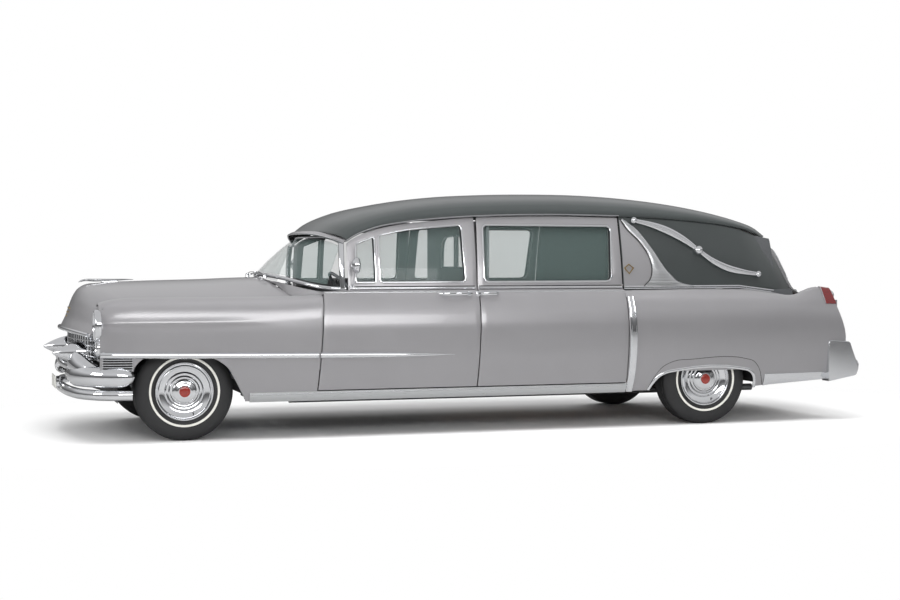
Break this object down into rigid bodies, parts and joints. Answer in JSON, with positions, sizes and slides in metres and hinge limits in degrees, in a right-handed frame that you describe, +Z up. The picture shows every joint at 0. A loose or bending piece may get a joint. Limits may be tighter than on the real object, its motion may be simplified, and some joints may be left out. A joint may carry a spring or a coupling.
{
  "type": "hearse",
  "caption": "Long landau hearse with hinged doors, hood and rear load door, steered front wheels, chrome trim and dark rear roof.",
  "frame": {"origin": "on the ground under the middle of the car", "axes": "-Y to the front, +X to the car's left, +Z up"},
  "size_m": [2.0078, 6.325, 1.777],
  "materials": {
    "silver_paint": "metallic, polished",
    "charcoal_paint": "gloss",
    "chrome": "polished",
    "wheel_chrome": "polished, with plain red centre",
    "tyre": "matte, narrow white ring",
    "glass": "clear, faint green tint",
    "black_steel": "satin black",
    "engine_iron": "painted casting",
    "bare_steel": "plain",
    "wood": "varnished",
    "red_lens": "clear moulded",
    "seat_cloth": "woven",
    "grey_trim": "satin",
    "steering_plastic": "moulded"
  },
  "bodies": {
    "body": {"chassis_frame": "black_steel", "engine_block": "engine_iron", "exhaust": "bare_steel", "rear_axle": "black_steel", "front_suspension": "black_steel", "fuel_tank": "bare_steel", "floor_pan": "silver_paint", "load_floor": "wood", "cowl": "silver_paint", "front_fender_left": "silver_paint", "front_fender_right": "silver_paint", "grille": "chrome", "front_bumper": "chrome", "headlamps": "chrome", "windshield_glass": "glass", "windshield_frame": "chrome", "roof": "charcoal_paint", "landau_panel_left": "charcoal_paint", "landau_panel_right": "charcoal_paint", "landau_bars": "chrome", "quarter_panel_left": "silver_paint", "quarter_panel_right": "silver_paint", "rear_panels": "silver_paint", "center_pillars": "silver_paint", "rear_bumper": "chrome", "tail_lamps": "red_lens", "front_seat": "seat_cloth", "partition": "grey_trim", "dashboard": "grey_trim"},
    "hood": {"hood": "silver_paint"},
    "front_door_left": {"front_door_left": "silver_paint", "front_door_glass_left": "glass"},
    "front_door_right": {"front_door_right": "silver_paint", "front_door_glass_right": "glass"},
    "rear_door_left": {"rear_door_left": "silver_paint", "rear_door_glass_left": "glass"},
    "rear_door_right": {"rear_door_right": "silver_paint", "rear_door_glass_right": "glass"},
    "load_door": {"load_door": "silver_paint", "load_door_glass": "glass"},
    "steering_wheel": {"steering_wheel": "steering_plastic"},
    "knuckle_left": {"knuckle_left": "black_steel"},
    "knuckle_right": {"knuckle_right": "black_steel"},
    "wheel_front_left": {"wheel_front_left": "wheel_chrome", "tyre_front_left": "tyre"},
    "wheel_front_right": {"wheel_front_right": "wheel_chrome", "tyre_front_right": "tyre"},
    "wheel_rear_left": {"wheel_rear_left": "wheel_chrome", "tyre_rear_left": "tyre"},
    "wheel_rear_right": {"wheel_rear_right": "wheel_chrome", "tyre_rear_right": "tyre"}
  },
  "joints": [
    {"name": "hood_hinge", "type": "hinge", "parent": "body", "child": "hood", "pos_m": [0, -1.452, 1.135], "axis": [-1, 0, 0], "range_deg": [0, 48]},
    {"name": "front_door_left_hinge", "type": "hinge", "parent": "body", "child": "front_door_left", "pos_m": [1.005, -1.35, 0.76], "axis": [0.0698, 0, -0.9976], "range_deg": [0, 62]},
    {"name": "front_door_right_hinge", "type": "hinge", "parent": "body", "child": "front_door_right", "pos_m": [-1.005, -1.35, 0.76], "axis": [0.0698, 0, 0.9976], "range_deg": [0, 62]},
    {"name": "rear_door_left_hinge", "type": "hinge", "parent": "body", "child": "rear_door_left", "pos_m": [1.007, 1.04, 0.76], "axis": [-0.0698, 0, 0.9976], "range_deg": [0, 62]},
    {"name": "rear_door_right_hinge", "type": "hinge", "parent": "body", "child": "rear_door_right", "pos_m": [-1.007, 1.04, 0.76], "axis": [-0.0698, 0, -0.9976], "range_deg": [0, 62]},
    {"name": "load_door_hinge", "type": "hinge", "parent": "body", "child": "load_door", "pos_m": [0.584, 2.905, 0.76], "axis": [0, 0, -1], "range_deg": [0, 100]},
    {"name": "steer_left", "type": "hinge", "parent": "body", "child": "knuckle_left", "pos_m": [0.703, -2.28, 0.345], "axis": [0, 0, 1], "range_deg": [-28, 28]},
    {"name": "steer_right", "type": "hinge", "parent": "body", "child": "knuckle_right", "pos_m": [-0.703, -2.28, 0.345], "axis": [0, 0, 1], "range_deg": [-28, 28]},
    {"name": "steering_wheel_turn", "type": "hinge", "parent": "body", "child": "steering_wheel", "pos_m": [0.4, -0.99101, 0.99996], "axis": [0, 0.766, 0.6428], "range_deg": [-620, 620]},
    {"name": "wheel_front_left_spin", "type": "hinge", "parent": "knuckle_left", "child": "wheel_front_left", "pos_m": [0.765, -2.28, 0.345], "axis": [1, 0, 0], "continuous": true},
    {"name": "wheel_front_right_spin", "type": "hinge", "parent": "knuckle_right", "child": "wheel_front_right", "pos_m": [-0.765, -2.28, 0.345], "axis": [1, 0, 0], "continuous": true},
    {"name": "wheel_rear_left_spin", "type": "hinge", "parent": "body", "child": "wheel_rear_left", "pos_m": [0.8, 1.733, 0.345], "axis": [1, 0, 0], "continuous": true},
    {"name": "wheel_rear_right_spin", "type": "hinge", "parent": "body", "child": "wheel_rear_right", "pos_m": [-0.8, 1.733, 0.345], "axis": [1, 0, 0], "continuous": true}
  ],
  "couplings": [
    {"joint": "steer_right", "follows": "steer_left", "ratio": 1},
    {"joint": "steering_wheel_turn", "follows": "steer_left", "ratio": -22}
  ]
}
